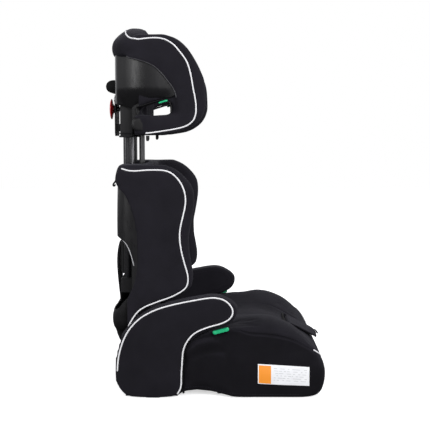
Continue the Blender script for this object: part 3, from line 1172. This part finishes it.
LOWER = [(93, 132, 213.0), (105, 135.5, 219), (119, 139.5, 223), (126, 150, 224.8), (134, 156.5, 226), (143, 158.5, 226.4), (158, 158.5, 224), (170, 157, 218), (181, 154.5, 210), (190, 150, 201)]
LOWER_EDGE = reading([(184, 193), (188, 191), (193, 188), (199.5, 181), (206, 173), (213, 166), (219, 162.5), (227, 161)])
low_half, low_rear = reading([(r[0], r[1]) for r in LOWER]), reading([(r[0], r[2]) for r in LOWER])


LOWER_PLANS = {}


def lower_plan(k):
    """The cover's outline at one of a set of close heights."""
    if k not in LOWER_PLANS:
        z = 94.0 + 1.5 * k
        half, rear = low_half(z) - 1.6, low_rear(z) - 1.6
        d = rear - 184.0
        LOWER_PLANS[k] = smooth(
            [(0, rear), (half * 0.45, rear - 0.6), (half - 42, rear - 2.4), (half - 17, rear - d * 0.2), (half - 4.5, rear - d * 0.42), (half, 184.0 + d * 0.28), (half, 184.0)],
            count=41,
        )
    return LOWER_PLANS[k]


def lower_row(s):
    """s runs up the cover; its top edge dips in the middle like a saddle."""
    row = []
    for k in range(41):
        u = k / 40.0
        dip = 212 - 56 * math.sqrt(max(0.0, 1 - (min(150.0 * u, 138.0) / 140.0) ** 2))
        z = 94.0 + (min(190.0, dip, LOWER_EDGE(lower_plan(37)[k][1])) - 94.0) * s
        row.append((*lower_plan(round((z - 94.0) / 1.5))[k], z))
    return [(-x, y, z) for x, y, z in reversed(row[1:])] + row


lower = sheet("lower_back_cover", [lower_row(k / 26.0) for k in range(27)], 3.0, LOWER_PLASTIC, rim=1.0)
ride(lower, "backrest", "black_plastic", "lower_rear_cover")

# bowed strip across the opening: plastic spring inside, cloth tape outside
SPINE_OUT = smooth([(219.5, 291), (222.3, 280), (224.6, 262), (225.0, 243), (223.4, 214), (221.0, 187), (219.4, 169), (220.0, 159)], step=4)


def strip_rows(path, half, push):
    rows = []
    for i, (y, z) in enumerate(path):
        t = i / (len(path) - 1)
        w = half * (0.84 + 0.16 * math.sin(math.pi * t))
        rows.append([(w * (k / 6 - 1), y + push - 0.9 * (k / 6 - 1) ** 2, z) for k in range(13)])
    return rows


ride(sheet("spine_spring", strip_rows(SPINE_OUT, 29.0, -3.6), 2.4, MOULDED, rim=0.8), "backrest", "black_plastic", "spine_strip")
ride(sheet("spine_tape", strip_rows(SPINE_OUT, 27.0, -0.9), 1.8, CLOTH_TOP, rim=0.6), "backrest", "black_fabric")

# =========================================================================================================================
# RAILS, KNOB, GRIP AND SMALL PARTS
# =========================================================================================================================
for side, word in SIDES:
    x = side * 72.0
    profile = [(0, 206), (6.4, 206), (7.6, 206.6), (8, 207.6)] + [(8, 207.6 + (662.6 - 207.6) * k / 12) for k in range(1, 13)] + [(7.6, 663.5), (6.6, 664), (0, 664)]
    rail = turned(f"rail_{word}", profile, (x, 195.0, 0.0), (0, 0, 1), GLOSSY, seg=48)
    ride(rail, "backrest", "gloss_black_tube", f"rail_tube_{word}")
    plug = turned(f"rail_cap_{word}", [(0, 663.2), (7.4, 663.2), (7.9, 663.9), (7.8, 665.2), (6.6, 666.4), (4.0, 667.0), (0, 667.1)], (x, 195.0, 0.0), (0, 0, 1), MOULDED, seg=40)
    ride(plug, "backrest", "black_plastic", f"tube_plug_{word}")

LOCK_Z = 578.0
knob_profile = [
    (0, 5.6), (9.3, 5.6), (9.3, 0.3), (9.7, 0.0), (10.7, 0.0), (11.2, 0.4), (11.6, 1.3), (15, 1.7), (19.2, 2.2), (21.2, 2.9), (22.0, 3.8),
    (21.7, 4.7), (20.4, 5.5), (17.5, 6.3), (13.5, 7.0), (12.6, 6.7), (12.0, 6.7), (11.4, 7.2), (7, 7.9), (3, 8.1), (0, 8.1),
]
knob = turned("pull_knob", knob_profile, (0, 231.2, LOCK_Z), (0, 1, 0), RED, seg=72)
ride(knob, "lock_knob", "red_plastic", "lock_knob")

grip_outline = smooth([(221.9, 611.4), (231, 611.6), (238.5, 614.2), (243, 619.5), (244.2, 625.3), (243, 631), (238.5, 636.3), (231, 638.9), (221.9, 639.1)], step=2.0)
grip_rings = []
for k in range(31):
    x = -30 + 2 * k
    end = max(0.0, (abs(x) - 24) / 6.0)
    k_in = 1 - 0.26 * end**2
    waist = 1 - 0.028 * (1 + math.cos(x * 2 * math.pi / 8.0)) * ease(abs(x), 24, 18)
    ring = []
    for y, z in grip_outline:
        ring.append((x, 221.9 + (y - 221.9) * k_in * waist, 625.25 + (z - 625.25) * (k_in * 0.5 + 0.5) * (waist * 0.5 + 0.5)))
    grip_rings.append(ring)
ride(solid("rear_grip_bar", grip_rings, RUBBER), "headrest", "black_plastic", "rear_grip")

for side, word in SIDES:
    # lap belt guide: rounded green tab with raised ribs
    tab = smooth([(13.6, 135.6), (6, 137.8), (-8, 141.6), (-15.6, 143.2), (-18.0, 140.4), (-17.4, 137.4), (-10, 135.2), (4, 131.6), (11.6, 129.8), (14, 132.4)], closed=True, count=56)
    rings = [[(side * x, *(tab.mean(0) + (q - tab.mean(0)) * k)) for q in tab] for x, k in ((206.8, 0.9), (207.4, 1.0), (213.2, 1.0), (214.1, 0.95), (214.5, 0.86))]
    guide = solid(f"lap_guide_{word}", rings, GREEN)
    guide.data.set_sharp_from_angle(angle=math.radians(40))
    ride(guide, "base", "green_plastic", f"lap_belt_guide_{word}")
    for k in range(4):
        y = 8 - 7.2 * k
        z = 134.0 - 0.262 * (y - 6) - 0.6
        rib = tube(f"lap_guide_rib_{word}_{k}", [(side * 214.6, y, z - 2.4), (side * 214.6, y - 0.6, z + 2.4)], 0.7, GREEN, seg=8)
        ride(rib, "base", "green_plastic")
    # belt marker in the headrest slot, with its liner left as moulded
    strip = smooth([(122.4, 588.6), (115, 591.0), (108.4, 593.2), (105.4, 592.8), (105.4, 590.6), (110, 589.0), (116, 587.4), (122.2, 585.6), (123.4, 587.0)], closed=True, count=40)
    rings = [[(side * x, *(strip.mean(0) + (q - strip.mean(0)) * k)) for q in strip] for x, k in ((134.0, 1.0), (146.4, 1.0), (147.4, 0.9))]
    ride(solid(f"belt_slot_marker_{word}", rings, GREEN), "headrest", "green_plastic", f"belt_marker_{word}")
    # wire hooks that hold the cover, top of the back
    hook = smooth([(side * 150, 210.5, 431), (side * 150, 213.0, 427.4), (side * 150, 215.4, 424.2), (side * 150, 215.8, 421.4), (side * 150, 213.6, 420.4), (side * 150, 212.2, 422.2)], step=1.5)
    ride(tube(f"cover_clip_{word}", hook, 1.8, RUBBER, seg=8), "backrest", "black_plastic", f"cover_hook_{word}")

# =========================================================================================================================
# LABEL: pale cloth patch with an orange end and plain grey bars
# =========================================================================================================================
def label_material():
    m, t, b, where = start("printed_label")
    p = add(t, "ShaderNodeSeparateXYZ", None, i0=where).outputs
    # distance along the label from its rear end, and up it from its lower edge, which fall 4 degrees towards the front
    y = maths(t, "MULTIPLY", maths(t, "ADD", p[1], 0.0755), -1.0)
    z = maths(t, "SUBTRACT", p[2], maths(t, "SUBTRACT", 0.0305, maths(t, "MULTIPLY", y, 0.062)))
    orange = maths(t, "MULTIPLY", maths(t, "LESS_THAN", y, 0.0262), maths(t, "GREATER_THAN", y, 0.0018))
    orange = maths(t, "MULTIPLY", orange, maths(t, "MULTIPLY", maths(t, "GREATER_THAN", z, 0.0016), maths(t, "LESS_THAN", z, 0.0374)))
    rows = maths(t, "LESS_THAN", maths(t, "FRACT", maths(t, "DIVIDE", z, 0.0046)), 0.22)
    inside = maths(t, "MULTIPLY", maths(t, "GREATER_THAN", y, 0.0315), maths(t, "LESS_THAN", y, 0.0975))
    inside = maths(t, "MULTIPLY", inside, maths(t, "MULTIPLY", maths(t, "GREATER_THAN", z, 0.006), maths(t, "LESS_THAN", z, 0.0352)))
    gaps = maths(t, "GREATER_THAN", add(t, "ShaderNodeTexNoise", {"noise_dimensions": "1D"}, W=maths(t, "ADD", maths(t, "MULTIPLY", y, 130.0), maths(t, "MULTIPLY", maths(t, "FLOOR", maths(t, "DIVIDE", z, 0.0046)), 17.3)), Scale=1.0, Detail=0.0).outputs[0], 0.48)
    bars = maths(t, "MULTIPLY", maths(t, "MULTIPLY", rows, inside), gaps)
    soil = noisy(t, where, 45.0, 4.0)
    pale = ramp(t, soil, [(0.3, (0.80, 0.81, 0.84)), (0.7, (0.90, 0.91, 0.93))])
    one = add(t, "ShaderNodeMix", {"data_type": "RGBA"}, i0=maths(t, "MULTIPLY", bars, 0.55), i6=pale, i7=(0.30, 0.30, 0.32, 1))
    two = add(t, "ShaderNodeMix", {"data_type": "RGBA"}, i0=orange, i6=one.outputs[2], i7=(0.90, 0.30, 0.022, 1))
    t.links.new(two.outputs[2], b.inputs["Base Color"])
    u, v = surface_uv(t, where)
    k = 2 * math.pi / (0.7 * MM)
    cloth = maths(t, "MULTIPLY", maths(t, "SINE", maths(t, "MULTIPLY", u, k)), maths(t, "SINE", maths(t, "MULTIPLY", v, k)))
    t.links.new(add(t, "ShaderNodeBump", None, Strength=0.25, Distance=0.08 * MM, Height=cloth).outputs[0], b.inputs["Normal"])
    t.links.new(scaled(t, soil, 0.3, 0.7, 0.5, 0.62), b.inputs["Roughness"])
    return m


LABEL = label_material()
rows = []
for k in range(13):
    s = k / 12.0
    row = []
    for i in range(31):
        u = i / 30.0
        y = -75.5 - 102.5 * u
        z = 30.5 - 4.6 * u + (39.6 - 1.6 * u) * s
        hit = seat_tree.ray_cast(Vector((-0.3, y * MM, z * MM)), Vector((1, 0, 0)))[0]
        row.append(np.array((hit.x / MM - 0.75, y, z)))
    rows.append(row)
ride(sheet("side_label", rows, 0.7, LABEL, rim=0.15), "base", "label_fabric", "care_label")

# =========================================================================================================================
# CAD NODES THAT STAY: their own materials and small edge radii
# =========================================================================================================================
nodes = frame["nodes"]


def finish_node(name, mat, bevel=0.0, segments=2, angle=38):
    obj = nodes[name]
    clad(obj, mat)
    if bevel:
        mod = obj.modifiers.new("edge", "BEVEL")
        mod.width = bevel * MM
        mod.segments = segments
        mod.limit_method = "ANGLE"
        mod.angle_limit = math.radians(angle)
        mod.use_clamp_overlap = True
        mod.harden_normals = False
    return obj


finish_node("base_shell", MOULDED, 1.2)
finish_node("hinge_axle", STEEL)
finish_node("back_panel", MOULDED)
finish_node("height_rack", STEEL, 0.25, 1)
finish_node("rack_housing", MOULDED, 0.8)
finish_node("lower_rail_bar", MOULDED, 0.5)
finish_node("upper_rail_bar", MOULDED, 0.5)
finish_node("headrest_carrier", MOULDED, 0.8)
finish_node("slide_plate", MOULDED, 0.6)
finish_node("lock_plate", MOULDED, 0.4)
finish_node("lock_spring", STEEL)
finish_node("lock_pin", STEEL, 0.3)
finish_node("pin_collar", STEEL, 0.2)
for side, word in SIDES:
    finish_node(f"armrest_frame_{word}", MOULDED)
    for k in (1, 2):
        finish_node(f"armrest_screw_{word}_{k}", STEEL)
    finish_node(f"hinge_hook_{word}", MOULDED, 0.6)
    finish_node(f"hook_screw_{word}", STEEL)
    finish_node(f"rail_screw_{word}", STEEL)
    finish_node(f"shell_screw_{word}", STEEL)
    finish_node(f"cover_tab_{word}", MOULDED, 0.5)

# =========================================================================================================================
# STAGE, LIGHT AND CAMERA
# =========================================================================================================================
def floor_material():
    m, t, b, where = start("pale_floor")
    mottle = noisy(t, where, 6.0, 3.0)
    b.inputs["Roughness"].default_value = 0.9
    b.inputs["Specular IOR Level"].default_value = 0.1
    see = add(t, "ShaderNodeLightPath").outputs["Is Camera Ray"]
    pale = ramp(t, mottle, [(0.3, (0.86, 0.86, 0.865)), (0.7, (0.88, 0.88, 0.885))])
    shade = add(t, "ShaderNodeMix", {"data_type": "RGBA"}, i0=see, i6=(0.10, 0.10, 0.10, 1), i7=pale)
    t.links.new(shade.outputs[2], b.inputs["Base Color"])
    b.inputs["Emission Color"].default_value = (1, 1, 1, 1)
    t.links.new(maths(t, "MULTIPLY", see, 0.6), b.inputs["Emission Strength"])
    return m


floor = make("floor", [(-6000, -6000, 0), (6000, -6000, 0), (6000, 6000, 0), (-6000, 6000, 0)], [(0, 1, 2, 3)], floor_material())

world = bpy.data.worlds.new("studio")
scene.world = world
world.use_nodes = True
wt = world.node_tree
bg = wt.nodes["Background"]
see = add(wt, "ShaderNodeLightPath").outputs["Is Camera Ray"]
up = add(wt, "ShaderNodeSeparateXYZ", None, i0=add(wt, "ShaderNodeTexCoord").outputs["Generated"]).outputs[2]
dome = ramp(wt, maths(wt, "ADD", maths(wt, "MULTIPLY", up, 0.5), 0.5), [(0.42, (0.05, 0.05, 0.05)), (0.53, (0.85, 0.85, 0.87)), (0.66, (0.80, 0.80, 0.82)), (0.88, (0.34, 0.34, 0.35))])
pick = add(wt, "ShaderNodeMix", {"data_type": "RGBA"}, i0=see, i6=dome, i7=(1.0, 1.0, 1.0, 1))
wt.links.new(pick.outputs[2], bg.inputs["Color"])
bg.inputs["Strength"].default_value = 1.0


def lamp(name, at, to, size, power, colour=(1, 1, 1)):
    data = bpy.data.lights.new(name, "AREA")
    data.shape = "RECTANGLE"
    data.size, data.size_y = size
    data.energy = power
    data.color = colour
    obj = bpy.data.objects.new(name, data)
    scene.collection.objects.link(obj)
    obj.location = at
    obj.rotation_euler = (Vector(to) - Vector(at)).to_track_quat("-Z", "Y").to_euler()
    return obj


lamp("key", (-2.3, -0.9, 1.5), (0, 0, 0.35), (1.6, 1.4), 52)
lamp("fill_rear", (-1.5, 2.0, 1.2), (0, 0.1, 0.45), (1.0, 1.6), 20)
lamp("rim", (1.8, 0.9, 1.9), (0, 0, 0.4), (1.5, 1.5), 12)
lamp("front", (0.4, -2.4, 1.2), (0, 0, 0.35), (1.6, 1.2), 12)

YAW, PITCH = math.atan(5.0 / 885.0), math.radians(5.49)
camera = bpy.data.objects.new("camera", bpy.data.cameras.new("camera"))
scene.collection.objects.link(camera)
camera.data.sensor_width = 36.0
camera.data.lens = 885.0 / 430.0 * 36.0
camera.data.clip_start, camera.data.clip_end = 0.05, 30.0
camera.location = (-1.935, 0.0, 0.533)
look = Vector((math.cos(YAW) * math.cos(PITCH), math.sin(YAW) * math.cos(PITCH), -math.sin(PITCH)))
camera.rotation_euler = look.to_track_quat("-Z", "Y").to_euler()
scene.camera = camera
scene.view_settings.view_transform = "Standard"
scene.view_settings.look = "None"
